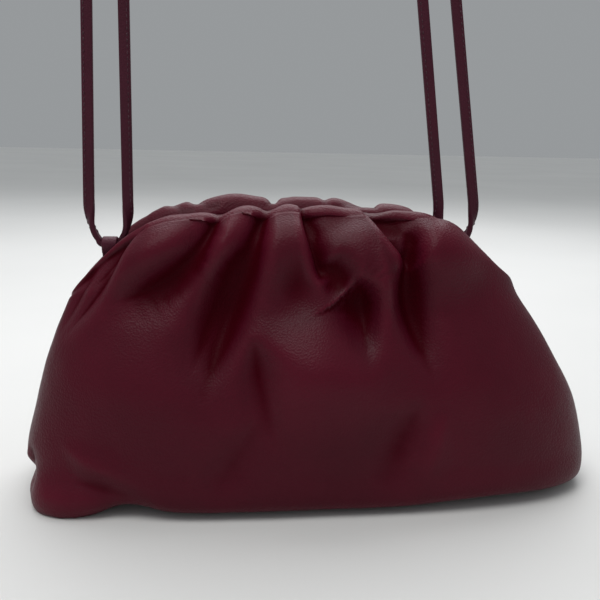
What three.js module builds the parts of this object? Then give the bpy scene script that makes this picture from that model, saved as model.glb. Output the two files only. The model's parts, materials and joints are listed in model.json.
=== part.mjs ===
// Gathered leather pouch bag with a doubled shoulder strap, drawn in millimetres with +Z up.
// The pouch stands puffed out and the strap is held up above it. The origin is the underside
// of the strap's top bend, where a hand or a hook holds it.

import * as THREE from 'three'

// Pouch
const pouchLength = 230
const pouchDepth = 78
const pouchHeight = 112
const leather = 2

// Mouth, hem and frame
const mouthLength = 147
const mouthOffset = -13.5
const mouthGap = 9
const mouthEndDrop = 31
const mouthCorner = 3
const hemWall = 1.5
const hemDepth = 11
const lipRise = 3.4
const mouthDrop = 6.8
const frameThickness = 3
const frameHeight = 5
const frameGap = 0.45

// Tab loops
const tabWidth = 5.4
const tabWall = 1.5
const tabInset = 7.5
const tabEye = 4.6
const tabStem = 14
const tabThickness = 3.2
const tabRise = 8.6

// Shoulder strap
const strapWidth = 4
const strapThickness = 2
const strapEdge = 0.5
const strapDrop = 560
const strapBend = 1.7
const strapGap = 0.3
const topBend = 15
const topOffset = -37
const strandSpacing = 14
const strandHeight = 18
const strandClear = 1

const around = 80
const halfLength = pouchLength / 2
const halfDepth = pouchDepth / 2
const lipThickness = leather + frameThickness + 2 * frameGap + hemWall

// Materials
const leatherFinish = new THREE.MeshStandardMaterial({ color: 0x4d1420, roughness: 0.5, metalness: 0 })
const strapFinish = new THREE.MeshStandardMaterial({ color: 0x3f121c, roughness: 0.55, metalness: 0 })
const frameFinish = new THREE.MeshStandardMaterial({ color: 0x6f6a62, roughness: 0.4, metalness: 0.8 })

// Rows of a table as objects, named by its first row.
function table([columns, ...rows]) {
  return rows.map((row) => Object.fromEntries(columns.map((column, k) => [column, row[k]])))
}

// Level sections of the pouch from its base to its neck. Heights are shares of the pouch height,
// reaches are shares of half the length or depth, and the corner is the superellipse exponent.
const sections = table([
  ['name', 'height', 'left', 'right', 'front', 'back', 'leftEnd', 'rightEnd', 'corner'],
  ['base centre', 0, 0.60, 0.60, 0.58, 0.58, 0, 0, 2.8],
  ['base edge', 0, 0.89, 0.86, 0.88, 0.86, 0, 0, 3.2],
  ['heel', 0.05, 0.955, 0.945, 0.97, 0.95, 0.05, 0.06, 3.2],
  ['low belly', 0.16, 0.985, 0.955, 1, 1, 0.15, 0.14, 3],
  ['belly', 0.34, 0.935, 0.90, 0.96, 0.96, 0.33, 0.32, 2.7],
  ['waist', 0.55, 0.88, 0.81, 0.83, 0.83, 0.52, 0.51, 2.5],
  ['shoulder', 0.73, 0.845, 0.732, 0.67, 0.67, 0.585, 0.675, 2.5],
  ['gathers', 0.86, 0.825, 0.668, 0.52, 0.52, 0.65, 0.74, 2.6],
])

// Folds that fall from the gathered mouth. Each runs from its top through its middle to its foot;
// along is a share of half the length, up a share of the height, and width and depth are shares
// of half the depth. A negative depth is a ridge.
const folds = table([
  ['face', 'topAlong', 'topUp', 'midAlong', 'midUp', 'footAlong', 'footUp', 'width', 'depth'],
  ['front', -0.21, 0.93, -0.29, 0.71, -0.36, 0.50, 0.16, 0.13],
  ['front', -0.28, 0.88, -0.38, 0.68, -0.48, 0.47, 0.15, 0.09],
  ['front', -0.42, 0.90, -0.53, 0.77, -0.68, 0.69, 0.17, 0.12],
  ['front', -0.08, 0.92, -0.05, 0.84, 0.00, 0.76, 0.14, 0.07],
  ['front', 0.08, 0.80, 0.10, 0.68, 0.10, 0.54, 0.20, 0.10],
  ['front', 0.14, 0.92, 0.21, 0.86, 0.26, 0.79, 0.20, 0.14],
  ['front', 0.265, 0.80, 0.275, 0.69, 0.31, 0.56, 0.18, 0.09],
  ['front', -0.15, 0.60, -0.12, 0.52, -0.09, 0.44, 0.45, -0.07],
  ['front', -0.62, 0.84, -0.72, 0.70, -0.84, 0.54, 0.14, 0.06],
  ['back', -0.50, 0.90, -0.56, 0.76, -0.63, 0.60, 0.17, 0.12],
  ['back', -0.30, 0.93, -0.36, 0.74, -0.38, 0.50, 0.18, 0.13],
  ['back', -0.14, 0.93, -0.14, 0.80, -0.12, 0.66, 0.16, 0.10],
  ['back', 0.03, 0.93, 0.06, 0.72, 0.05, 0.48, 0.18, 0.13],
  ['back', 0.20, 0.93, 0.28, 0.76, 0.36, 0.58, 0.17, 0.12],
  ['back', 0.36, 0.89, 0.47, 0.76, 0.56, 0.62, 0.16, 0.09],
])

// Soft ridges on the lip, where the gathers roll over the frame: place along the mouth and height.
const lipWaves = table([
  ['face', 'along', 'width', 'rise'],
  ['front', -0.34, 0.16, 0.010],
  ['front', 0.02, 0.20, 0.012],
  ['front', 0.35, 0.14, 0.058],
  ['back', -0.46, 0.16, 0.034],
  ['back', -0.26, 0.14, 0.030],
  ['back', -0.04, 0.18, 0.024],
  ['back', 0.22, 0.14, 0.012],
])

// Round bulges and dents: the puffed right shoulder, and the collapsed lower left corner with a
// rounded ear of leather below it. Across and size are shares of half the depth.
const bulges = table([
  ['name', 'along', 'across', 'up', 'size', 'push'],
  ['shoulder puff', 0.41, -0.36, 0.91, 0.44, 0.24],
  ['ear', -0.88, -0.86, 0.03, 0.42, 0.26],
  ['pinch', -0.98, -0.50, 0.10, 0.20, -0.12],
  ['lobe', -0.95, -0.50, 0.24, 0.40, 0.06],
])

const point = (x, y, z) => new THREE.Vector3(x, y, z)
const signedPower = (value, power) => Math.sign(value) * Math.abs(value) ** power

// Value at t between whole rows of a table, on a Catmull-Rom curve through them.
function between(rows, t, column) {
  const row = Math.min(Math.floor(t), rows.length - 2)
  const f = t - row
  const at = (k) => rows[Math.max(0, Math.min(rows.length - 1, k))][column]
  const [a, b, c, d] = [at(row - 1), at(row), at(row + 1), at(row + 2)]
  return b + 0.5 * f * (c - a + f * (2 * a - 5 * b + 4 * c - d + f * (3 * (b - c) + d - a)))
}

// The section at t, with shares turned into millimetres.
function pouchSection(t) {
  return {
    height: pouchHeight * between(sections, t, 'height'),
    left: halfLength * between(sections, t, 'left'),
    right: halfLength * between(sections, t, 'right'),
    front: halfDepth * between(sections, t, 'front'),
    back: halfDepth * between(sections, t, 'back'),
    leftEnd: pouchHeight * between(sections, t, 'leftEnd'),
    rightEnd: pouchHeight * between(sections, t, 'rightEnd'),
    corner: between(sections, t, 'corner'),
  }
}

// A section of the mouth, a distance outside the hem's face and a height above the lip's shoulder.
const mouthTop = pouchHeight - mouthDrop
function mouthSection(outside, rise) {
  const reach = mouthLength / 2 + outside
  const height = mouthTop + rise
  return {
    height,
    left: reach - mouthOffset,
    right: reach + mouthOffset,
    front: mouthGap / 2 + outside,
    back: mouthGap / 2 + outside,
    leftEnd: height - mouthEndDrop,
    rightEnd: height - mouthEndDrop,
    corner: mouthCorner,
  }
}

// Angles around the pouch that space the points evenly along its widest section.
function evenAngles(section, count) {
  const fine = 720
  const lengths = [0]
  let last = sectionPoint(section, 0)
  for (let k = 1; k <= fine; k += 1) {
    const next = sectionPoint(section, (2 * Math.PI * k) / fine)
    lengths.push(lengths[k - 1] + next.distanceTo(last))
    last = next
  }
  const angles = []
  let k = 0
  for (let step = 0; step < count; step += 1) {
    const target = (lengths[fine] * step) / count
    while (lengths[k + 1] < target) k += 1
    const part = (target - lengths[k]) / (lengths[k + 1] - lengths[k])
    angles.push((2 * Math.PI * (k + part)) / fine)
  }
  return angles
}

// A point of a section: a superellipse whose ends drop from the middle's height.
function sectionPoint(section, angle) {
  const along = signedPower(Math.cos(angle), 2 / section.corner)
  const across = signedPower(Math.sin(angle), 2 / section.corner)
  const end = along > 0 ? section.rightEnd : section.leftEnd
  return point(
    along * (along > 0 ? section.right : section.left),
    across * (across > 0 ? section.back : section.front),
    section.height + (end - section.height) * along ** 4,
  )
}

const angles = evenAngles(pouchSection(3), around)
const sectionRing = (section) => angles.map((angle) => sectionPoint(section, angle))

// How far a fold pushes the leather in at a place on its face.
function foldPush(fold, place) {
  const width = fold.width * halfDepth
  const middleAlong = 2 * fold.midAlong - (fold.topAlong + fold.footAlong) / 2
  const middleUp = 2 * fold.midUp - (fold.topUp + fold.footUp) / 2
  const steps = 12
  let nearest = Infinity
  let reached = 0
  for (let k = 0; k <= steps; k += 1) {
    const t = k / steps
    const [a, b, c] = [(1 - t) ** 2, 2 * t * (1 - t), t * t]
    const along = halfLength * (a * fold.topAlong + b * middleAlong + c * fold.footAlong)
    const up = pouchHeight * (a * fold.topUp + b * middleUp + c * fold.footUp)
    const away = Math.hypot(place.x - along, place.z - up)
    if (away < nearest) {
      nearest = away
      reached = t
    }
  }
  const fade = Math.sin(Math.PI * (0.15 + 0.85 * reached)) ** 0.5
  return fold.depth * halfDepth * fade * Math.exp(-((nearest / width) ** 2))
}

// The whole push of folds, bulges and dents at a place, outwards when positive.
function relief(place) {
  const face = place.y < 0 ? 'front' : 'back'
  const side = THREE.MathUtils.smoothstep(Math.abs(place.y), 0.05 * pouchDepth, 0.12 * pouchDepth)
  let push = 0
  for (const fold of folds) {
    if (fold.face === face) push -= side * foldPush(fold, place)
  }
  for (const bulge of bulges) {
    const centre = point(bulge.along * halfLength, bulge.across * halfDepth, bulge.up * pouchHeight)
    const away = centre.distanceTo(place)
    push += bulge.push * halfDepth * Math.exp(-((away / (bulge.size * halfDepth)) ** 2))
  }
  return push
}

// How far the gathers lift the lip at a place.
function lipLift(place) {
  const face = place.y < 0 ? 'front' : 'back'
  let lift = 0
  for (const wave of lipWaves) {
    const away = (place.x / halfLength - wave.along) / wave.width
    if (wave.face === face) lift += wave.rise * pouchHeight * Math.exp(-(away ** 2))
  }
  return lift
}

// Outward normals of a grid of rings that run from the base upwards.
function gridNormals(rings) {
  return rings.map((ring, r) => ring.map((_, k) => {
    const up = rings[Math.min(r + 1, rings.length - 1)][k].clone().sub(rings[Math.max(r - 1, 0)][k])
    const on = ring[(k + 1) % around].clone().sub(ring[(k + around - 1) % around])
    return on.cross(up).normalize()
  }))
}

// One closed solid from rings of equal count, with a point at its start and end or closed on itself.
function ringSolid(rings, start, end) {
  const positions = rings.flat().flatMap((p) => [p.x, p.y, p.z])
  const count = rings[0].length
  const faces = []
  const spans = start ? rings.length - 1 : rings.length
  for (let r = 0; r < spans; r += 1) {
    for (let k = 0; k < count; k += 1) {
      const [here, above] = [r * count, ((r + 1) % rings.length) * count]
      const next = (k + 1) % count
      const [a, b, c, d] = [here + k, here + next, above + next, above + k]
      faces.push(a, b, c, a, c, d)
    }
  }
  if (start) {
    const [first, last] = [rings.length * count, rings.length * count + 1]
    positions.push(start.x, start.y, start.z, end.x, end.y, end.z)
    for (let k = 0; k < count; k += 1) {
      const next = (k + 1) % count
      faces.push(first, next, k)
      faces.push(last, (rings.length - 1) * count + k, (rings.length - 1) * count + next)
    }
  }
  const geometry = new THREE.BufferGeometry()
  geometry.setAttribute('position', new THREE.Float32BufferAttribute(positions, 3))
  geometry.setIndex(faces)
  geometry.computeVertexNormals()
  return geometry
}

function part(name, geometry, material) {
  const mesh = new THREE.Mesh(geometry, material)
  mesh.name = name
  return mesh
}

// Pouch: up the outside, over the lip, down the hem, up its channel and down the inside.
function makePouch() {
  const stepsPerRow = 2.5
  const topRow = sections.length - 1
  const rowCount = Math.round(topRow * stepsPerRow)
  const smooth = []
  for (let k = 0; k <= rowCount; k += 1) smooth.push(sectionRing(pouchSection((topRow * k) / rowCount)))
  const shoulder = sectionRing(mouthSection(lipThickness, 0))
  const normals = gridNormals([...smooth, shoulder])
  const outer = smooth.map((ring, r) => ring.map((p, k) => {
    const moved = p.clone().addScaledVector(normals[r][k], relief(p))
    return moved.setZ(p.z > 0 ? Math.max(moved.z, 0) : 0)
  }))
  const inner = outer.map((ring, r) => ring.map((p, k) => {
    const moved = p.clone().addScaledVector(normals[r][k], -leather)
    moved.z = Math.max(moved.z, leather)
    return moved
  }))

  const lip = []
  const lipSteps = 5
  for (let k = 0; k <= lipSteps; k += 1) {
    const turn = (Math.PI * k) / lipSteps
    const outside = (lipThickness * (1 + Math.cos(turn))) / 2
    const ring = sectionRing(mouthSection(outside, lipRise * Math.sin(turn)))
    const share = Math.sin(turn) * (1 + Math.cos(turn)) ** 2 / 2
    lip.push(ring.map((p) => p.clone().setZ(p.z + lipLift(p) * share)))
  }
  const channelInside = hemWall
  const channelOutside = lipThickness - leather
  const hem = [
    mouthSection(0, -hemDepth / 2),
    mouthSection(0, -hemDepth),
    mouthSection(channelInside, -hemDepth),
    mouthSection(channelInside, -hemDepth / 2),
    mouthSection(channelInside, 0),
    mouthSection(channelOutside, 0),
    mouthSection(channelOutside, -frameHeight - 2 * frameGap),
  ].map(sectionRing)
  const rings = [...outer, ...lip, ...hem, ...inner.reverse()]
  return ringSolid(rings, point(0, 0, 0), point(0, 0, leather))
}

// Mouth frame: a flat bar bent into a closed ring that lies in the hem's channel.
function makeFrame() {
  const inside = hemWall + frameGap
  const outside = inside + frameThickness
  const rings = [
    mouthSection(inside, -frameGap),
    mouthSection(inside, -frameGap - frameHeight),
    mouthSection(outside, -frameGap - frameHeight),
    mouthSection(outside, -frameGap),
  ].map(sectionRing)
  return ringSolid(rings)
}

// Height of the mouth's lip shoulder at a place along the pouch.
function mouthHeight(x) {
  const along = (x - mouthOffset) / (mouthLength / 2)
  return mouthTop - mouthEndDrop * along ** 4
}

const tabPlaces = [-1, 1].map((side) => {
  const x = mouthOffset + side * (mouthLength / 2 - tabInset)
  return point(x, 0, mouthHeight(x) + tabRise)
})

// Tab loop: a strip folded over the strap's bend, with its two tails together in the mouth.
function makeTab(place) {
  const eyeHeight = strapThickness + 2 * strapGap
  const outline = new THREE.Shape()
  const outerHalf = tabEye / 2 + tabWall
  const top = eyeHeight / 2 + tabWall
  outline.moveTo(-tabThickness / 2, -tabStem)
  outline.lineTo(tabThickness / 2, -tabStem)
  outline.lineTo(tabThickness / 2, -top - tabWall / 2)
  outline.lineTo(outerHalf, -top / 2 + tabWall / 2)
  outline.lineTo(outerHalf, top - tabWall)
  outline.quadraticCurveTo(outerHalf, top, outerHalf - tabWall, top)
  outline.lineTo(-outerHalf + tabWall, top)
  outline.quadraticCurveTo(-outerHalf, top, -outerHalf, top - tabWall)
  outline.lineTo(-outerHalf, -top / 2 + tabWall / 2)
  outline.lineTo(-tabThickness / 2, -top - tabWall / 2)
  outline.closePath()
  const eye = new THREE.Path()
  eye.moveTo(-tabEye / 2, -eyeHeight / 2)
  eye.lineTo(-tabEye / 2, eyeHeight / 2)
  eye.lineTo(tabEye / 2, eyeHeight / 2)
  eye.lineTo(tabEye / 2, -eyeHeight / 2)
  eye.closePath()
  outline.holes.push(eye)
  const geometry = new THREE.ExtrudeGeometry(outline, { depth: tabWidth, bevelEnabled: false, curveSegments: 3 })
  geometry.translate(0, 0, -tabWidth / 2)
  geometry.rotateX(Math.PI / 2)
  geometry.rotateZ(Math.PI / 2)
  geometry.translate(place.x, place.y, place.z)
  return geometry
}

// The strap's centre line. Each stop has a place and how far the flat side has turned to the front.
function strapStops() {
  const [left, right] = tabPlaces
  const topX = mouthOffset + topOffset
  const topZ = pouchHeight + strapDrop - topBend
  const outerBend = topBend + strapThickness + strandClear
  const stops = []
  const stop = (x, z, facing) => stops.push({ place: point(x, 0, z), facing })

  // Under one tab, between its two strands
  const side = tabWidth / 2 + strapGap + strapThickness / 2
  const under = (tab) => {
    const steps = 4
    const bends = [{ x: tab.x - side + strapBend, from: Math.PI }, { x: tab.x + side - strapBend, from: 1.5 * Math.PI }]
    for (const bend of bends) {
      for (let k = 0; k <= steps; k += 1) {
        const turn = bend.from + (Math.PI / 2) * (k / steps)
        stop(bend.x + strapBend * Math.cos(turn), tab.z + strapBend + strapBend * Math.sin(turn), 0)
      }
    }
  }
  // A strand between a tab and the top: it opens out to its spacing, then runs straight and turns
  // its flat side to the front on the way.
  const strand = (tab, hand, topHand, bend, upwards) => {
    const foot = point(tab.x + hand * side, 0, tab.z + strapBend)
    const open = point(tab.x + (hand * strandSpacing) / 2, 0, tab.z + strandHeight)
    const head = point(topX + topHand * bend, 0, topZ)
    const list = []
    const lead = 5
    for (let k = 1; k < lead; k += 1) {
      const t = k / lead
      const ease = t * t * (3 - 2 * t)
      list.push({ x: foot.x + (open.x - foot.x) * ease, z: foot.z + (open.z - foot.z) * t, facing: t })
    }
    const run = 10
    const [turnStart, turnEnd] = [0.45, 0.85]
    for (let k = 0; k < run; k += 1) {
      const t = k / run
      const turned = 1 - THREE.MathUtils.smoothstep(t, turnStart, turnEnd)
      list.push({ x: open.x + (head.x - open.x) * t, z: open.z + (head.z - open.z) * t, facing: turned })
    }
    if (!upwards) list.reverse()
    for (const item of list) stop(item.x, item.z, item.facing)
  }
  const over = (bend, clockwise) => {
    const steps = 12
    for (let k = 0; k <= steps; k += 1) {
      const turn = clockwise ? Math.PI * (1 - k / steps) : Math.PI * (k / steps)
      stop(topX + bend * Math.cos(turn), topZ + bend * Math.sin(turn), 0)
    }
  }
  under(left)
  strand(left, 1, -1, topBend, true)
  over(topBend, true)
  strand(right, -1, 1, topBend, false)
  under(right)
  strand(right, 1, 1, outerBend, true)
  over(outerBend, false)
  strand(left, -1, -1, outerBend, false)
  return stops
}

// Strap: a flat strip with softened edges, carried along its stops and closed on itself.
function makeStrap() {
  const stops = strapStops()
  const [w, t, e] = [strapWidth / 2, strapThickness / 2, strapEdge]
  const outline = [[w, t - e], [w - e, t], [e - w, t], [-w, t - e], [-w, e - t], [e - w, -t], [w - e, -t], [w, e - t]]
  const rings = stops.map((here, k) => {
    const next = stops[(k + 1) % stops.length].place
    const last = stops[(k + stops.length - 1) % stops.length].place
    const tangent = next.clone().sub(last).normalize()
    const across = point(0, 1, 0)
    const normal = across.clone().cross(tangent)
    const turn = (here.facing * Math.PI) / 2
    const wide = across.clone().multiplyScalar(Math.cos(turn)).addScaledVector(normal, Math.sin(turn))
    const thin = tangent.clone().cross(wide)
    return outline.map(([u, v]) => here.place.clone().addScaledVector(wide, u).addScaledVector(thin, v))
  })
  return ringSolid(rings)
}

const bag = new THREE.Group()
bag.add(part('pouch_body', makePouch(), leatherFinish))
bag.add(part('mouth_frame', makeFrame(), frameFinish))
bag.add(part('loop_left', makeTab(tabPlaces[0]), strapFinish))
bag.add(part('loop_right', makeTab(tabPlaces[1]), strapFinish))
bag.add(part('shoulder_strap', makeStrap(), strapFinish))
bag.position.set(-(mouthOffset + topOffset), 0, -(pouchHeight + strapDrop - strapThickness / 2))
bag.updateMatrixWorld(true)

export default bag
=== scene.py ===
"""Gathered leather pouch bag held up by its doubled strap, dressed around its fixed frame.

Shapes are worked out in millimetres in the bag's own frame: the origin lies on the floor under the
middle of the pouch, +X runs along the pouch, -Y is its front and +Z is up. to_frame() brings them
to metres in the shared frame.
"""

import json

import bpy
import numpy as np
from bpy.props import FloatProperty, FloatVectorProperty, IntProperty, PointerProperty
from mathutils import Matrix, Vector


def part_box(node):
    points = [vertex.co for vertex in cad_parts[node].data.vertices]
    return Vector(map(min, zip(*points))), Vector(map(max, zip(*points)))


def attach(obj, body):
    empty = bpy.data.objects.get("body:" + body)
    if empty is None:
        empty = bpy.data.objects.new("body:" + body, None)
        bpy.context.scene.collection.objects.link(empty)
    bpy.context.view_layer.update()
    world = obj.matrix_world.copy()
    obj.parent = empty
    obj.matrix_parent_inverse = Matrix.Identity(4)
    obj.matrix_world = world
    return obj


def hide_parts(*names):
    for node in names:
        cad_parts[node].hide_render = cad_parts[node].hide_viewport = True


bl_info = {
    "name": "Gathered Pouch Bag",
    "version": (1, 0, 0),
    "blender": (4, 5, 0),
    "location": "View3D > Sidebar > Pouch Bag",
    "description": "Folded leather pouch, tab loops, stitched strap and a plain stage",
    "category": "Add Mesh",
}

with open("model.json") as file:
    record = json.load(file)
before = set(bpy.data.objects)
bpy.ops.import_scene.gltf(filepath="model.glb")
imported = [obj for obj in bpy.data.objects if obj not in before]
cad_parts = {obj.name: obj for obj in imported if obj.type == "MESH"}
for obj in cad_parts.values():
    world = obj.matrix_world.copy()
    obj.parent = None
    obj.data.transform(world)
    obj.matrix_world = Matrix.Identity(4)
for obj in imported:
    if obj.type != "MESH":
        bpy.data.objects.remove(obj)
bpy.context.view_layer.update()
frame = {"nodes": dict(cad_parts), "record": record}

MM = 0.001
BASE_PLACE = np.array(next(m["pos_m"] for m in frame["record"]["mounts"] if m["name"] == "base_rest"))
POUCH_LOW, POUCH_HIGH = (np.array(corner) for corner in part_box("pouch_body"))

# Lengths in millimetres that the frame's pieces are made with.
POUCH_LENGTH = 230.0
POUCH_DEPTH = round((POUCH_HIGH - POUCH_LOW)[1] / MM)
POUCH_HEIGHT = round((POUCH_HIGH - POUCH_LOW)[2] / MM)
LEATHER = 2.0
MOUTH_LENGTH = 147.0
MOUTH_OFFSET = -13.5
MOUTH_GAP = 9.0
MOUTH_END_DROP = 31.0
MOUTH_CORNER = 3.0
MOUTH_DROP = 6.8
LIP_THICKNESS = 7.4
LIP_RISE = 3.4
HEM_WALL = 1.5
HEM_DEPTH = 11.0
FRAME_ROOM = 5.9
TAB_WIDTH = 5.4
TAB_WALL = 1.5
TAB_EYE = 4.6
TAB_STEM = 14.0
TAB_INSET = 7.5
TAB_RISE = 8.6
STRAP_WIDTH = 4.0
STRAP_THICKNESS = 2.0
STRAP_BEND = 1.7
STRAP_GAP = 0.3
STRAP_CLEAR = 1.0
TOP_BEND = 15.0
TOP_OFFSET = -37.0
STRAP_DROP = 560.0
STRAND_SPACING = 14.0
STRAND_HEIGHT = 18.0

# Lengths in millimetres of the scene alone: how far the lip leans in over its rise, the radius of a
# tab's edges and the gap between its two tails.
LIP_LEAN = 1.0
TAB_EDGE = 0.42
TAB_TAIL_GAP = 0.12

# A tab's strip leaves its tail and reaches the eye's side this far under the eye, in shares of its
# own thickness.
TAB_LEAVES, TAB_REACHES = 1.8, 0.35

# A strand turns its flat side to the front between the first two shares of its way off the tab, and
# back between the second two shares of its way up to the top.
TURNS_FRONT = (0.1, 1)
TURNS_BACK = (0.45, 0.85)

# Points of the strap under a tab, off it, up a strand and over the top.
UNDER_POINTS, OFF_POINTS, UP_POINTS, OVER_POINTS = 30, 32, 90, 40

# Sides of the thread and the share of its pitch that a stitch covers.
THREAD_SIDES = 5
STITCH_SHARE = 0.74

# The inside follows the lowest relief within this many points, and it begins at this share of the
# outside's rings, under the hem.
INNER_REACH = 4
INNER_TOP = 0.93

# Points of the fine curves on which the grid's even spacing is measured.
FINE_TURNS = 7201
FINE_STEPS = 2001

HALF_LENGTH = POUCH_LENGTH / 2
HALF_DEPTH = POUCH_DEPTH / 2
MOUTH_TOP = POUCH_HEIGHT - MOUTH_DROP


def table(columns, *rows):
    """Rows of a table as dictionaries, named by its first row."""
    return [dict(zip(columns, row)) for row in rows]


# Level sections of the pouch from its base to its neck. Heights are shares of the pouch height,
# reaches are shares of half the length or depth, and the corner is the superellipse exponent.
SECTIONS = table(
    ("name", "height", "left", "right", "front", "back", "left_end", "right_end", "corner"),
    ("base centre", 0, 0.60, 0.60, 0.58, 0.58, 0, 0, 2.8),
    ("base edge", 0, 0.82, 0.90, 0.70, 0.72, 0, 0, 3.2),
    ("heel", 0.037, 0.93, 0.938, 1.03, 0.94, 0.037, 0.025, 3.4),
    ("low belly", 0.16, 0.975, 0.945, 1.03, 1, 0.15, 0.14, 3),
    ("belly", 0.34, 0.935, 0.90, 0.96, 0.96, 0.33, 0.32, 2.7),
    ("waist", 0.55, 0.88, 0.795, 0.83, 0.83, 0.52, 0.51, 2.5),
    ("shoulder", 0.73, 0.857, 0.69, 0.67, 0.67, 0.585, 0.665, 2.5),
    ("gathers", 0.86, 0.83, 0.65, 0.52, 0.52, 0.65, 0.73, 2.6),
)
LOW_BELLY = 3

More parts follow.
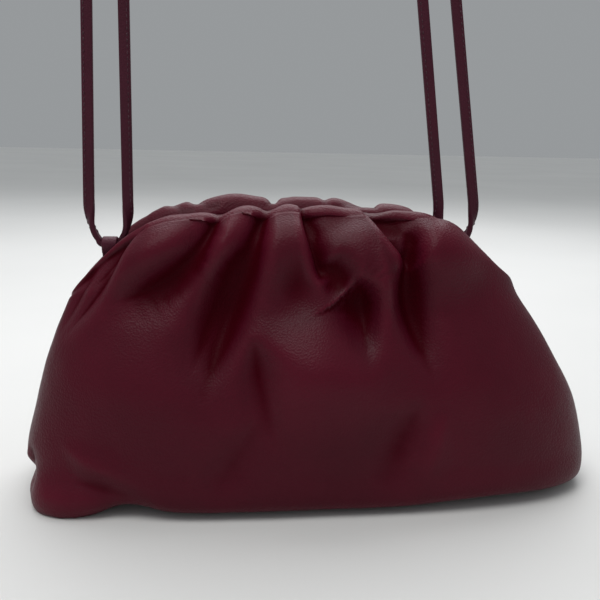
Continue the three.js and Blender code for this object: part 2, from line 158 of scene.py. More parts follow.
# Fold lines on each face, from their top through their middle to their foot. Along is a share of half
# the length (of half the depth on an end), up a share of the height. The lip's folds lie on its plan,
# where up is a share of half the depth towards the back. A fold is a valley with its own width on
# either side, in millimetres; a negative depth makes it a ridge. Broad is the share of its depth that
# a wide soft hollow round it has. Rims are the rolls of leather beside it. A positive lean slides the
# left side over the valley, a negative one the right. Sharp is the valley's exponent, 1 for a crease
# and 2 for a round hollow. Start is how much of it is already there at its top, and hold is how far
# down its line it begins to fade.
FOLD_COLUMNS = (
    "top", "mid", "foot", "left", "right", "depth", "broad",
    "rim_left", "rim_right", "lean", "sharp", "start", "hold",
)
FOLDS = {
    "front": table(
        FOLD_COLUMNS,
        ((-0.172, 0.985), (-0.283, 0.74), (-0.415, 0.32), 5.2, 5.4, 12.5, 0.15, 0.6, 0.8, 0, 1.8, 0.15, 0.5),
        ((-0.255, 0.89), (-0.355, 0.68), (-0.465, 0.38), 6.5, 4.4, 6.5, 0.1, 0.8, 0, 0, 1.7, 0, 0.45),
        ((-0.318, 0.975), (-0.463, 0.79), (-0.71, 0.65), 4.2, 9, 11, 0.15, 1.4, 0.6, 0.9, 1.7, 0.15, 0.5),
        ((-0.57, 0.885), (-0.676, 0.79), (-0.757, 0.69), 2.6, 3.0, 3.4, 0, 0.8, 0.6, 0, 1.5, 0.4, 0.6),
        ((-0.60, 0.86), (-0.736, 0.68), (-0.85, 0.52), 2.8, 2.8, 2.8, 0, 0.2, 0.7, 0, 1.3, 0.1, 0.5),
        ((-0.68, 0.84), (-0.785, 0.69), (-0.87, 0.49), 2.4, 2.4, 2.2, 0, 0.2, 0.6, 0, 1.3, 0.1, 0.5),
        ((-0.085, 0.985), (-0.062, 0.875), (-0.02, 0.745), 1.8, 4.8, 8.0, 0.1, 1.0, 0, 0.8, 1.6, 0.2, 0.8),
        ((-0.045, 0.79), (0.025, 0.765), (0.10, 0.755), 6.5, 5.5, 6.5, 0, 0, 0, 0, 2, 0, 0.5),
        ((0.065, 0.76), (0.106, 0.66), (0.09, 0.42), 9.0, 4.6, 9.5, 0, 0, 1.6, 0, 1.9, 0, 0.4),
        ((0.14, 0.86), (0.168, 0.72), (0.155, 0.54), 5.0, 4.0, -2.4, 0, 0, 0, 0, 1.9, 0, 0.4),
        ((0.095, 0.985), (0.185, 0.885), (0.275, 0.79), 1.8, 5.2, 9.5, 0.1, 1.0, 0, 1.0, 1.6, 0.25, 0.8),
        ((0.262, 0.87), (0.266, 0.68), (0.35, 0.38), 4.8, 5.8, 11, 0.15, 0.5, 0.7, 0, 1.8, 0.6, 0.4),
        ((-0.20, 0.36), (-0.29, 0.20), (-0.39, 0.07), 7.0, 9.0, 1.6, 0, 0.4, 0.4, 0, 1.8, 0, 0.5),
        ((-0.235, 0.60), (-0.215, 0.44), (-0.16, 0.18), 7.0, 7.4, 5.0, 0, 0, 0.5, 0, 1.8, 0, 0.45),
        ((0.30, 0.40), (0.22, 0.24), (0.16, 0.06), 9.0, 8.0, 2.6, 0, 0, 0, 0, 1.9, 0, 0.5),
        ((0.37, 0.36), (0.325, 0.22), (0.275, 0.06), 6.0, 6.0, -1.6, 0, 0, 0, 0, 1.9, 0, 0.5),
        ((-0.80, 0.13), (-0.66, 0.10), (-0.50, 0.05), 5.0, 5.0, 1.5, 0, 0.8, 0, 0, 1.7, 0, 0.5),
        ((-0.84, 0.24), (-0.70, 0.17), (-0.46, 0.08), 5.0, 5.0, -1.6, 0, 0, 0, 0, 1.8, 0, 0.5),
    ),
    "back": table(
        FOLD_COLUMNS,
        ((-0.154, 0.97), (-0.19, 0.80), (-0.22, 0.50), 3.6, 4.0, 8.0, 0.2, 1.2, 1.2, 0, 1.4, 0.4, 0.5),
        ((-0.42, 0.95), (-0.50, 0.78), (-0.60, 0.52), 4.0, 6.0, 7.5, 0.2, 1.2, 1.0, 0.6, 1.4, 0.4, 0.5),
        ((-0.29, 0.90), (-0.37, 0.70), (-0.41, 0.40), 4.6, 5.6, 6.0, 0.1, 0.6, 0.8, 0, 1.5, 0.1, 0.5),
        ((0.02, 0.97), (0.04, 0.74), (0.03, 0.38), 4.0, 5.0, 8.2, 0.2, 1.4, 1.4, 0, 1.4, 0.4, 0.5),
        ((0.10, 0.88), (0.15, 0.70), (0.18, 0.48), 3.6, 3.6, 4.0, 0.1, 0.5, 0.5, 0, 1.5, 0, 0.5),
        ((0.185, 0.97), (0.28, 0.78), (0.37, 0.50), 10.0, 2.8, 8.0, 0.1, 0, 1.4, -1.0, 1.3, 0.4, 0.5),
        ((0.34, 0.92), (0.46, 0.76), (0.57, 0.52), 4.6, 6.0, 5.6, 0.1, 0.8, 0.8, 0, 1.5, 0.4, 0.5),
        ((-0.57, 0.90), (-0.68, 0.73), (-0.80, 0.50), 3.2, 4.4, 3.6, 0.1, 0.6, 0.6, 0, 1.5, 0.4, 0.5),
        ((-0.10, 0.34), (-0.02, 0.20), (0.10, 0.07), 7.0, 9.0, 1.6, 0, 0.4, 0.4, 0, 1.8, 0, 0.5),
        ((0.40, 0.36), (0.47, 0.22), (0.50, 0.08), 6.0, 7.0, 1.4, 0, 0.4, 0.4, 0, 1.8, 0, 0.5),
    ),
    "left": table(
        FOLD_COLUMNS,
        ((0.60, 0.135), (-0.05, 0.11), (-0.62, 0.09), 2.6, 4.0, 6.5, 0, 0, 0.8, 0, 1.7, 0, 0.75),
        ((0.25, 0.60), (0.15, 0.42), (0.20, 0.24), 5.0, 5.0, 2.6, 0, 0.6, 0.6, 0, 1.6, 0, 0.5),
        ((-0.40, 0.20), (-0.50, 0.13), (-0.55, 0.03), 4.0, 3.0, 1.6, 0, 0, 0.6, 0, 1.5, 0, 0.8),
    ),
    "right": table(
        FOLD_COLUMNS,
        ((0.05, 0.66), (-0.08, 0.42), (0.05, 0.20), 6.0, 5.0, 2.6, 0, 0.6, 0.6, 0, 1.6, 0, 0.5),
        ((0.35, 0.50), (0.42, 0.34), (0.36, 0.20), 4.0, 5.0, 1.8, 0, 0.5, 0.5, 0, 1.6, 0, 0.5),
    ),
    "lip": table(
        FOLD_COLUMNS,
        ((-0.445, 0.40), (-0.41, 0.24), (-0.34, 0.08), 1.8, 4.0, 3.0, 0, 0.6, 0, 0, 1.5, 0.6, 0.9),
        ((-0.525, 0.36), (-0.485, 0.22), (-0.43, 0.08), 1.6, 3.0, 2.4, 0, 0.5, 0, 0, 1.5, 0.6, 0.9),
        ((-0.138, 0.44), (-0.155, 0.26), (-0.20, 0.08), 3.6, 1.6, 2.6, 0, 0, 1.0, 0, 1.3, 0.8, 0.9),
        ((0.19, 0.36), (0.12, 0.22), (0.03, 0.10), 2.0, 4.0, 2.4, 0, 0.5, 0, 0, 1.5, 0.6, 0.9),
    ),
}

# Round pushes of the leather. Along and up are shares as above, reach_along and reach_up its
# half sizes in millimetres, turn its tilt in degrees and push how far it stands out.
PADS = table(
    ("name", "face", "along", "up", "reach_along", "reach_up", "turn", "push"),
    ("shoulder puff", "front", 0.42, 0.85, 15, 13, -35, 4.5),
    ("centre pillow", "front", -0.03, 0.46, 22, 19, -15, 9.0),
    ("hollow over the pillow", "front", -0.10, 0.74, 8, 11, 0, -3.6),
    ("dimple beside the pocket", "front", 0.012, 0.90, 8, 7, 20, -2.4),
    ("broad ridge", "front", -0.36, 0.80, 9, 24, -38, 3.0),
    ("left belly", "front", -0.58, 0.42, 26, 16, 0, 2.6),
    ("right belly", "front", 0.52, 0.40, 34, 20, -20, 2.4),
    ("ear", "front", -0.86, 0.05, 13, 8, 0, 3.6),
    ("hollow beside the ear", "front", -0.63, 0.02, 11, 5, 0, -3.2),
    ("ear end", "left", -0.62, 0.015, 11, 6, 0, 4.4),
    ("hollow under the shoulder puff", "front", 0.235, 0.90, 7, 6, 35, -2.2),
    ("back belly", "back", 0.10, 0.40, 60, 26, 0, 1.6),
    ("back left puff", "back", -0.42, 0.86, 16, 12, 25, 2.0),
    ("back right puff", "back", 0.30, 0.88, 14, 10, -25, 2.0),
)

# Height that the gathers give the lip on each side, over or under its plain curve: places along the
# mouth as shares of half the length, and the rise there in millimetres.
LIP_LINES = {
    "front": table(
        ("along", "rise"),
        (-0.50, 0), (-0.42, -1.2), (-0.33, -2.4), (-0.25, -0.4), (-0.172, -1.4), (-0.12, 0.4),
        (-0.08, -0.4), (0.0, 0.4), (0.09, -0.8), (0.157, -1.6), (0.24, 0.0), (0.33, 0.4),
        (0.42, -1.5), (0.52, 0),
    ),
    "back": table(
        ("along", "rise"),
        (-0.72, 0), (-0.62, 2.0), (-0.50, 2.4), (-0.43, 1.8), (-0.29, 2.8), (-0.20, 1.8), (-0.145, 0.4),
        (-0.08, 1.6), (0.03, 1.4), (0.16, -1.0), (0.28, 0), (0.40, 0), (0.52, 0),
    ),
}

# The rolls of leather round the mouth: how far they stand out on each side, over what height they
# set in, how far under the mouth they turn in, and the shares of half the mouth between which they
# run out at its two ends.
ROLL_PUSH = {"front": 6.8, "back": 6.0}
ROLL_REACH = 34.0
ROLL_TURN = 9.0
ROLL_END = (0.62, 1.0)

# Deepest that a fold may press the leather over the hem's channel, how much deeper it may press for each
# millimetre under the channel or over the lip's leather, and the thickness of that leather.
CHANNEL_DEPTH = 1.4
UNDER_CHANNEL = 0.6
OVER_CHANNEL = 0.8
LIP_LEATHER = 1.2

# The right end of the base is lifted a little off the floor: how far, between which shares of half
# the length it sets in, and the height up to which it is felt.
BASE_LIFT = 2.4
BASE_LIFT_SETS_IN = (0.15, 0.65)
BASE_LIFT_REACH = 32.0

# The crease value, which steers painted shade in the leather's folds and a painted highlight on its puffs:
# the depth at which a fold begins to count, how much further it counts in full, the height at which a puff
# does, the limits of these two, and the hollow between neighbouring points that counts in full by itself.
# All but the limits are in millimetres.
SHALLOW_FOLD = 1.2
DEEP_FOLD = 6.5
HIGH_PUFF = 9.0
TONE_LIMITS = (-0.5, 0.7)
SHARP_CREASE = 0.28

# Shares of the lift, of the roll and of the folds over the lip, from its outer shoulder at 0 to the
# hem at 1.
LIFT_TURNS, LIFT_SHARES = (0, 0.3, 0.55, 0.8, 1), (0.6, 1.0, 0.9, 0.35, 0)
ROLL_TURNS, ROLL_SHARES = (0, 0.25, 0.5, 0.75, 1), (0.7, 0.38, 0.12, 0, 0)
FOLD_TURNS, FOLD_SHARES = (0, 0.2, 0.5, 0.8, 1), (0.85, 0.55, 0.35, 0.15, 0)

# The soft lights: the setting that holds their power, their place from the middle of the pouch and
# their size, both in metres, and their colour. The pouch's middle is given in millimetres.
LIGHTS = table(
    ("name", "power", "offset", "size", "colour"),
    ("overhead_light", "sky_power", (0.08, 0.52, 0.80), (1.0, 0.8), (0.97, 0.98, 1.0)),
    ("front_light", "front_power", (-0.24, -0.30, 0.90), (0.7, 0.5), (1.0, 0.99, 0.98)),
)
POUCH_MIDDLE = (0.0, 0.0, 60.0)

# Shares of the way from the horizon to overhead between which the sky brightens.
SKY_BRIGHTENS = (0.2, 0.85)

# The photograph's camera: its yaw, pitch and roll in degrees, its place and its lens in millimetres.
CAMERA_TURN = (6.5, 13.097, 1.257)
CAMERA_PLACE = (-37.9, -266.0, 134.1)
CAMERA_LENS = 42.0

# A fold is this share of its width at its top, and it has its whole width and its whole depth these
# shares of the way down its line.
FOLD_TOP_WIDTH = 0.42
FOLD_WIDE_AT = 0.5
FOLD_DEEP_AT = 0.45
FOLD_SEGMENTS = 14

# How far a fold is felt, the reach of its broad hollow and of its rims, and where its slide lies and
# how far that reaches, all in widths of its valley.
FOLD_MARGIN = 4
BROAD_REACH = 3.2
RIM_REACH = 1.8
SLIDE_PLACE = 0.8
SLIDE_REACH = 0.9

# Where each kind of face begins and where it is whole, as shares of the pouch's depth for its front and
# back, of half its length for its ends and of the lip's rise for the lip.
FACE_SETS_IN = (0.05, 0.12)
END_SETS_IN = (0.62, 0.80)
LIP_SETS_IN = (0.2, 0.9)

# Grain in millimetres and roughness of the strap's and the tabs' leather, how much lighter the tabs' colour
# is made, and the share of the colour that the painted shade keeps in a fold.
STRAP_GRAIN, TAB_GRAIN = 0.55, 0.6
STRAP_ROUGHNESS = 0.42
TAB_TINT = 1.25
FOLD_SHADE_TINT = 0.6

# The leather's sheen on open surfaces and in folds.
SHEEN, FOLD_SHEEN = 0.15, 0.03

# Slow waves and small ripples of the whole skin: their heights and lengths in millimetres, and the
# angle in radians from one wave's direction to the next.
WAVE_HEIGHT, WAVE_LENGTH = 0.35, 42
RIPPLE_HEIGHT, RIPPLE_LENGTH = 0.12, 13
GOLDEN_ANGLE = 2.39996


def signed_power(value, power):
    """The absolute value raised to a power, with the value's own sign."""
    return np.sign(value) * np.abs(value) ** power


def smooth_step(value, start, end):
    """0 before start, 1 after end, and a cubic ease between them."""
    share = np.clip((value - start) / (end - start), 0, 1)
    return share * share * (3 - 2 * share)


def unit(vectors):
    """Vectors scaled to a length of 1."""
    return vectors / np.maximum(np.linalg.norm(vectors, axis=-1, keepdims=True), 1e-9)


def length_along(line, weight=1.0):
    """Length along a line at each of its points, with every step counted by its weight."""
    steps = np.linalg.norm(np.diff(line, axis=0), axis=1)
    return np.concatenate([[0], np.cumsum(steps * weight)])


def to_frame(points):
    """Points in the bag's millimetres as metres in the shared frame."""
    return points * MM + BASE_PLACE


def between(rows, steps):
    """Rows of numbers read between whole steps, on a Catmull-Rom curve through them."""
    last = len(rows) - 1
    row = np.clip(np.floor(steps).astype(int), 0, last - 1)
    f = (steps - row)[:, None]
    a, b, c, d = (rows[np.clip(row + k, 0, last)] for k in (-1, 0, 1, 2))
    return b + 0.5 * f * (c - a + f * (2 * a - 5 * b + 4 * c - d + f * (3 * (b - c) + d - a)))


def mouth_row(outside, rise):
    """One section of the mouth, a distance outside the hem's face and a height above its shoulder."""
    reach = MOUTH_LENGTH / 2 + outside
    half_gap = MOUTH_GAP / 2 + outside
    height = MOUTH_TOP + rise
    end = height - MOUTH_END_DROP
    left, right = reach - MOUTH_OFFSET, reach + MOUTH_OFFSET
    return [height, left, right, half_gap, half_gap, end, end, MOUTH_CORNER]


def section_rows():
    """The pouch's sections in millimetres. The last two are the mouth's shoulder and the lip's start."""
    scale = {
        "height": POUCH_HEIGHT,
        "left": HALF_LENGTH,
        "right": HALF_LENGTH,
        "front": HALF_DEPTH,
        "back": HALF_DEPTH,
        "left_end": POUCH_HEIGHT,
        "right_end": POUCH_HEIGHT,
        "corner": 1,
    }
    rows = [[section[key] * size for key, size in scale.items()] for section in SECTIONS]
    mouth = [mouth_row(LIP_THICKNESS, 0), mouth_row(LIP_THICKNESS - LIP_LEAN, LIP_RISE)]
    return np.array(rows + mouth, dtype=float)


def section_rings(rows, turns):
    """Rings of points round the pouch, one for each row: a superellipse in plan, with along the signed
    2/corner power of the cosine and across that of the sine. Its ends go to their own heights with the
    fourth power of along."""
    height, left, right, front, back, left_end, right_end, corner = (column[:, None] for column in rows.T)
    along = signed_power(np.cos(turns), 2 / corner)
    across = signed_power(np.sin(turns), 2 / corner)
    end = np.where(along > 0, right_end, left_end)
    x = along * np.where(along > 0, right, left)
    y = across * np.where(across > 0, back, front)
    z = height + (end - height) * along**4
    return np.stack([x, y, z], axis=-1)


def even_turns(row, count, front_share):
    """Angles that space count points evenly along a section, closer by front_share on its front."""
    fine = np.linspace(0, 2 * np.pi, FINE_TURNS)
    ring = section_rings(row[None, :], fine)[0]
    reached = length_along(ring, np.where(ring[1:, 1] < 0, front_share, 1.0))
    return np.interp(np.arange(count) / count * reached[-1], reached, fine)


def even_steps(rows, last, count):
    """Steps through the rows, up to the last, that are spaced evenly along the front's middle line."""
    fine = np.linspace(0, last, FINE_STEPS)
    line = section_rings(between(rows, fine), np.array([-np.pi / 2]))[:, 0]
    reached = length_along(line)
    return np.interp(np.linspace(0, reached[-1], count), reached, fine)


def grid_normals(points):
    """Outward normals of a grid of rings: the cross product of the steps round and up the grid."""
    around = np.roll(points, -1, axis=1) - np.roll(points, 1, axis=1)
    upwards = np.gradient(points, axis=0)
    return unit(np.cross(around, upwards))


def face_place(points, face):
    """Place of each point on a face's elevation, or on the lip's plan, and how much it belongs there."""
    x, y, z = points[..., 0], points[..., 1], points[..., 2]
    if face == "lip":
        return x, y, smooth_step((z - mouth_height(x)) / LIP_RISE, *LIP_SETS_IN)
    if face in ("front", "back"):
        outwards = -y if face == "front" else y
        return x, z, smooth_step(outwards / POUCH_DEPTH, *FACE_SETS_IN)
    outwards = -x if face == "left" else x
    return y, z, smooth_step(outwards / HALF_LENGTH, *END_SETS_IN)


def fold_line(face, fold):
    """Points of a fold's line: a quadratic curve through its top, its middle and its foot."""
    span = (
        HALF_DEPTH if face in ("left", "right") else HALF_LENGTH,
        HALF_DEPTH if face == "lip" else POUCH_HEIGHT,
    )
    top, mid, foot = (np.array(fold[key]) * span for key in ("top", "mid", "foot"))
    control = 2 * mid - (top + foot) / 2
    t = np.linspace(0, 1, FOLD_SEGMENTS + 1)[:, None]
    return (1 - t) ** 2 * top + 2 * t * (1 - t) * control + t * t * foot


def near_fold(along, up, line):
    """Distance to a fold's line, the share of the place that lies on its right, how far down the line
    its nearest point is, and the direction across the line there."""
    best = np.full(along.shape, np.inf)
    right_share = np.zeros_like(best)
    reached = np.zeros_like(best)
    across = np.zeros(along.shape + (2,))
    for k in range(FOLD_SEGMENTS):
        start, step = line[k], line[k + 1] - line[k]
        length = np.hypot(*step)
        da, du = along - start[0], up - start[1]
        t = np.clip((da * step[0] + du * step[1]) / length**2, 0, 1)
        da, du = da - t * step[0], du - t * step[1]
        distance = np.hypot(da, du)
        nearer = distance < best
        normal = np.array([-step[1], step[0]]) / length
        side = 0.5 + 0.5 * (da * normal[0] + du * normal[1]) / np.maximum(distance, 1e-6)
        best = np.where(nearer, distance, best)
        right_share = np.where(nearer, side, right_share)
        reached = np.where(nearer, (k + t) / FOLD_SEGMENTS, reached)
        across = np.where(nearer[..., None], normal, across)
    return best, right_share, reached, across


def fold_relief(points, face, fold):
    """Push of a fold along the normals and its slide across. In units of the width on that side, the
    valley is exp(-u^sharp), the broad hollow a bell of BROAD_REACH, the rims v^2 exp(1 - v^2) with v in
    shares of RIM_REACH, and the slide is a bell on the side that overlaps. All fade in from the top
    by start and out from hold to the foot."""
    along, up, share = face_place(points, face)
    line = fold_line(face, fold)
    margin = FOLD_MARGIN * max(fold["left"], fold["right"])
    low, high = line.min(axis=0) - margin, line.max(axis=0) + margin
    near = (share > 0) & (along > low[0]) & (along < high[0]) & (up > low[1]) & (up < high[1])
    push = np.zeros(along.shape)
    slide = np.zeros(points.shape)
    distance, right_share, reached, across = near_fold(along[near], up[near], line)
    width = fold["left"] + (fold["right"] - fold["left"]) * right_share
    width *= FOLD_TOP_WIDTH + (1 - FOLD_TOP_WIDTH) * smooth_step(reached, 0, FOLD_WIDE_AT)
    rim = fold["rim_left"] + (fold["rim_right"] - fold["rim_left"]) * right_share
    u = distance / width
    v = u / RIM_REACH
    fade = fold["start"] + (1 - fold["start"]) * smooth_step(reached, 0, FOLD_DEEP_AT)
    fade = fade * (1 - smooth_step(reached, fold["hold"], 1.0)) * share[near]
    valley = np.exp(-(u ** fold["sharp"])) + fold["broad"] * np.exp(-((u / BROAD_REACH) ** 2))
    push[near] = fade * (rim * v * v * np.exp(1 - v * v) - fold["depth"] * valley)
    if fold["lean"]:
        signed = u * (2 * right_share - 1)
        bell = np.exp(-(((signed + np.sign(fold["lean"]) * SLIDE_PLACE) / SLIDE_REACH) ** 2))
        amount = (fade * fold["lean"] * bell)[:, None]
        flat = np.zeros((len(amount), 3))
        flat[:, 0] = across[:, 0]
        flat[:, 2] = across[:, 1]
        slide[near] = amount * flat
    return push, slide


def pad_relief(points, pad):
    """Push of a round swelling: its height times exp of minus the squared distance in its own reaches."""
    span = HALF_DEPTH if pad["face"] in ("left", "right") else HALF_LENGTH
    along, up, share = face_place(points, pad["face"])
    turn = np.radians(pad["turn"])
    da, du = along - pad["along"] * span, up - pad["up"] * POUCH_HEIGHT
    a = (da * np.cos(turn) + du * np.sin(turn)) / pad["reach_along"]
    u = (du * np.cos(turn) - da * np.sin(turn)) / pad["reach_up"]
    return share * pad["push"] * np.exp(-(a * a) - u * u)


def soft_waves(points, length, count=10):
    """Gentle unevenness between -1 and 1: the mean of sine waves that run in golden-angle directions,
    with lengths from 0.7 times the given one upwards."""
    total = np.zeros(points.shape[:-1])
    for k in range(count):
        turn = GOLDEN_ANGLE * k
        rise = 1 - 2 * (k + 0.5) / count
        flat = np.sqrt(1 - rise * rise)
        direction = np.array([flat * np.cos(turn), flat * np.sin(turn), rise])
        total += np.sin(points @ direction * 2 * np.pi / (length * (0.7 + 0.06 * k)) + 1.7 * k)
    return total / count


def lip_lift(points):
    """How far the gathers lift the lip at each point: the rise of its side's line, eased from place to
    place with smooth_step."""
    lift = np.zeros(points.shape[:-1])
    for face, line in LIP_LINES.items():
        on_face = points[..., 1] < 0 if face == "front" else points[..., 1] >= 0
        places = np.arange(len(line))
        step = np.interp(points[..., 0] / HALF_LENGTH, [row["along"] for row in line], places)
        eased = np.floor(step) + smooth_step(step % 1, 0, 1)
        lift += on_face * np.interp(eased, places, [row["rise"] for row in line])
    return lift


def roll_out(points):
    """How far the rolls stand out at each point: their push on its side, run out at the mouth's ends."""
    side = np.where(points[..., 1] < 0, ROLL_PUSH["front"], ROLL_PUSH["back"])
    reach = np.abs(points[..., 0] - MOUTH_OFFSET) / (MOUTH_LENGTH / 2)
    return side * (1 - smooth_step(reach, *ROLL_END))


def local_lowest(values, reach):
    """The lowest value within reach steps of each grid point, round the rings and up them."""
    lowest = values.copy()
    for k in range(1, reach + 1):
        lowest = np.minimum(lowest, np.minimum(np.roll(values, k, axis=1), np.roll(values, -k, axis=1)))
    tall = np.pad(lowest, ((reach, reach), (0, 0)), mode="edge")
    return np.min([tall[k : k + len(values)] for k in range(2 * reach + 1)], axis=0)


def pouch_surface(settings):
    """The pouch's outside as rings, out along its base, up its side and over the lip. It returns the
    smooth rings, their normals, the push along them, the relief before that push is limited, the
    folded rings, the angles round them and how many of them lie under the lip."""
    rows = section_rows()
    turns = even_turns(rows[LOW_BELLY], settings.around, settings.front_share)
    last = len(rows) - 2
    steps = even_steps(rows, last, settings.outer_rings)
    body = section_rings(between(rows, steps), turns)

    lip_turns = np.pi * np.arange(1, settings.lip_rings + 1) / settings.lip_rings
    lip_rows = np.array([
        mouth_row(LIP_THICKNESS * (1 + np.cos(turn)) / 2, LIP_RISE * np.sin(turn)) for turn in lip_turns
    ])
    lip = section_rings(lip_rows, turns)
    smooth = np.concatenate([body, lip])
    lifted = smooth_step(smooth[..., 0] / HALF_LENGTH, *BASE_LIFT_SETS_IN)
    smooth[..., 2] += BASE_LIFT * lifted * (1 - smooth_step(smooth[..., 2], 0, BASE_LIFT_REACH))

    # The lift of the lip begins a little down the body and ends on the hem's face, and the roll of
    # leather stands out most at the mouth's shoulder.
    middle = body[:, np.argmin(np.abs(turns - 1.5 * np.pi)), 2]
    below = smooth_step(middle, MOUTH_TOP - ROLL_REACH, MOUTH_TOP)
    rolled = smooth_step(middle, MOUTH_TOP - ROLL_REACH, MOUTH_TOP - ROLL_TURN)
    rolled *= 1 - (1 - ROLL_SHARES[0]) * smooth_step(middle, MOUTH_TOP - ROLL_TURN, MOUTH_TOP)
    over_lip = lip_turns / np.pi
    lift_share = np.concatenate([LIFT_SHARES[0] * below, np.interp(over_lip, LIFT_TURNS, LIFT_SHARES)])
    roll_share = np.concatenate([rolled, np.interp(over_lip, ROLL_TURNS, ROLL_SHARES)])
    smooth[..., 2] += lip_lift(smooth) * lift_share[:, None]

    normals = grid_normals(smooth)
    folded = np.zeros(smooth.shape[:2])
    slide = np.zeros(smooth.shape)
    for face, folds in FOLDS.items():
        for fold in folds:
            fold_push, fold_slide = fold_relief(smooth, face, fold)
            folded += fold_push
            slide += fold_slide
    for pad in PADS:
        folded += pad_relief(smooth, pad)
    folded += WAVE_HEIGHT * soft_waves(smooth, WAVE_LENGTH)
    folded += RIPPLE_HEIGHT * soft_waves(smooth[..., ::-1], RIPPLE_LENGTH)

    # Over the lip the folds fade out with the roll, and none presses through the hem's channel.
    over = np.concatenate([np.ones(len(body)), np.interp(over_lip, FOLD_TURNS, FOLD_SHARES)])
    push = settings.fold_strength * (folded * over[:, None] + roll_out(smooth) * roll_share[:, None])
    slide *= over[:, None, None]
    under_channel = np.clip(MOUTH_TOP - FRAME_ROOM - smooth[..., 2], 0, None)
    over_channel = np.clip(smooth[..., 2] - mouth_height(smooth[..., 0]) - LIP_LEATHER, 0, None)
    deepest = CHANNEL_DEPTH + UNDER_CHANNEL * under_channel + OVER_CHANNEL * over_channel
    push = np.where(push < 0, -deepest * (1 - np.exp(-np.abs(push) / deepest)), push)

    outer = smooth + normals * push[..., None] + slide
    outer[..., 2] = np.where(smooth[..., 2] > 1e-6, np.maximum(outer[..., 2], 0), 0)
    return smooth, normals, push, folded, outer, turns, len(body)


def pouch_shell(settings):
    """The closed skin of the pouch: its outside, then down the hem, up behind it, across the frame's
    channel and down the inside, as rings in order, with its two poles and each point's crease value.
    The inside follows the lowest of the nearby relief, so the wall is never thinner than the leather."""
    smooth, normals, push, folded, outer, turns, body_rings = pouch_surface(settings)
    channel_outside = LIP_THICKNESS - LEATHER
    hem_rows = np.array([
        mouth_row(0, -HEM_DEPTH / 2),
        mouth_row(0, -HEM_DEPTH),
        mouth_row(HEM_WALL, -HEM_DEPTH),
        mouth_row(HEM_WALL, -HEM_DEPTH / 2),
        mouth_row(HEM_WALL, 0),
        mouth_row(channel_outside, 0),
        mouth_row(channel_outside, -FRAME_ROOM),
    ])
    hem = section_rings(hem_rows, turns)
    lowest = local_lowest(push[:body_rings], INNER_REACH)
    picked = np.unique(np.linspace(0, body_rings * INNER_TOP, settings.inner_rings).astype(int))[::-1]
    inner = smooth[picked] + normals[picked] * (lowest[picked] - LEATHER)[..., None]
    inner[..., 2] = np.maximum(inner[..., 2], LEATHER)
    rings = np.concatenate([outer, hem, inner])
    # The crease value steers painted shade in the folds and a painted highlight on the ridges and puffs: how
    # sharp a hollow is, plus how deep its fold or how tall its puff is.
    crease = np.zeros(rings.shape[:2])
    deep = np.clip(-folded - SHALLOW_FOLD, 0, None) / DEEP_FOLD
    tone = np.where(folded < 0, deep, -folded / HIGH_PUFF)
    crease[: len(outer)] = np.clip(crease_value(outer) + np.clip(tone, *TONE_LIMITS), -1, 1)
    poles = np.array([[0, 0, 0], [0, 0, LEATHER]], dtype=float)
    return rings, poles, crease


def crease_value(rings):
    """How hollow the skin is at each point, from -1 on a sharp ridge to 1 in a sharp fold: the height
    of the neighbours' mean over the point, along its normal, in shares of SHARP_CREASE."""
    reach = 2
    around = (np.roll(rings, reach, axis=1) + np.roll(rings, -reach, axis=1)) / 2
    tall = np.pad(rings, ((reach, reach), (0, 0), (0, 0)), mode="edge")
    upwards = (tall[2 * reach :] + tall[: -2 * reach]) / 2
    mean = (around + upwards) / 2
    height = np.sum((mean - rings) * grid_normals(rings), axis=-1)
    return np.clip(height / SHARP_CREASE, -1, 1)


def grid_faces(rows, columns, close_rows=False, close_columns=True):
    """Quads between the neighbours of a grid, each row closed on itself unless told otherwise, and the
    last row joined to the first if asked. They are wound to face outwards, or upwards on a floor."""
    here = np.arange(rows * columns).reshape(rows, columns)
    above = np.roll(here, -1, axis=0)
    quads = np.stack([here, np.roll(here, -1, axis=1), np.roll(above, -1, axis=1), above], axis=-1)
    return quads[: rows - (not close_rows), : columns - (not close_columns)].reshape(-1, 4)


def pole_faces(rings, around, first, last):
    """Triangles that close the first ring on one pole and the last ring on the other."""
    start = np.arange(around)
    end = start + (rings - 1) * around
    low = np.stack([np.full(around, first), np.roll(start, -1), start], axis=-1)
    high = np.stack([np.full(around, last), end, np.roll(end, -1)], axis=-1)
    return np.concatenate([low, high])


def new_piece(name, points, material, quads, triangles=(), attributes=None):
    """A smooth-shaded mesh object at the origin, from points in metres, with point attributes."""
    mesh = bpy.data.meshes.new(name)
    faces = np.asarray(quads).tolist() + np.asarray(triangles, dtype=int).tolist()
    mesh.from_pydata(np.asarray(points).reshape(-1, 3).tolist(), [], faces)
    mesh.polygons.foreach_set("use_smooth", np.ones(len(mesh.polygons), dtype=bool))
    for label, values in (attributes or {}).items():
        attribute = mesh.attributes.new(label, "FLOAT", "POINT")
        attribute.data.foreach_set("value", np.asarray(values, dtype=np.float32).ravel())
    mesh.update()
    piece = bpy.data.objects.new(name, mesh)
    bpy.context.scene.collection.objects.link(piece)
    mesh.materials.append(material)
    return piece


def section_offsets(half_width, half_thickness, edge, corner_points=4):
    """A flat section with round edges, counter-clockwise, with a quarter circle of radius edge in each
    corner."""
    quarter = np.linspace(0, np.pi / 2, corner_points)
    corners = []
    for turn, side_u, side_v in ((0, 1, 1), (0.5, -1, 1), (1, -1, -1), (1.5, 1, -1)):
        angle = quarter + turn * np.pi
        centre = np.array([side_u * (half_width - edge), side_v * (half_thickness - edge)])
        corners.append(centre + edge * np.stack([np.cos(angle), np.sin(angle)], axis=-1))
    return np.concatenate(corners)


def carry(profile, places, wide, thin):
    """A section carried along places: each place plus the section's two offsets on its own two axes."""
    return places[:, None] + profile[None, :, :1] * wide[:, None] + profile[None, :, 1:] * thin[:, None]


def mouth_height(x):
    """Height of the mouth's shoulder at a place along the pouch."""
    return MOUTH_TOP - MOUTH_END_DROP * ((x - MOUTH_OFFSET) / (MOUTH_LENGTH / 2)) ** 4


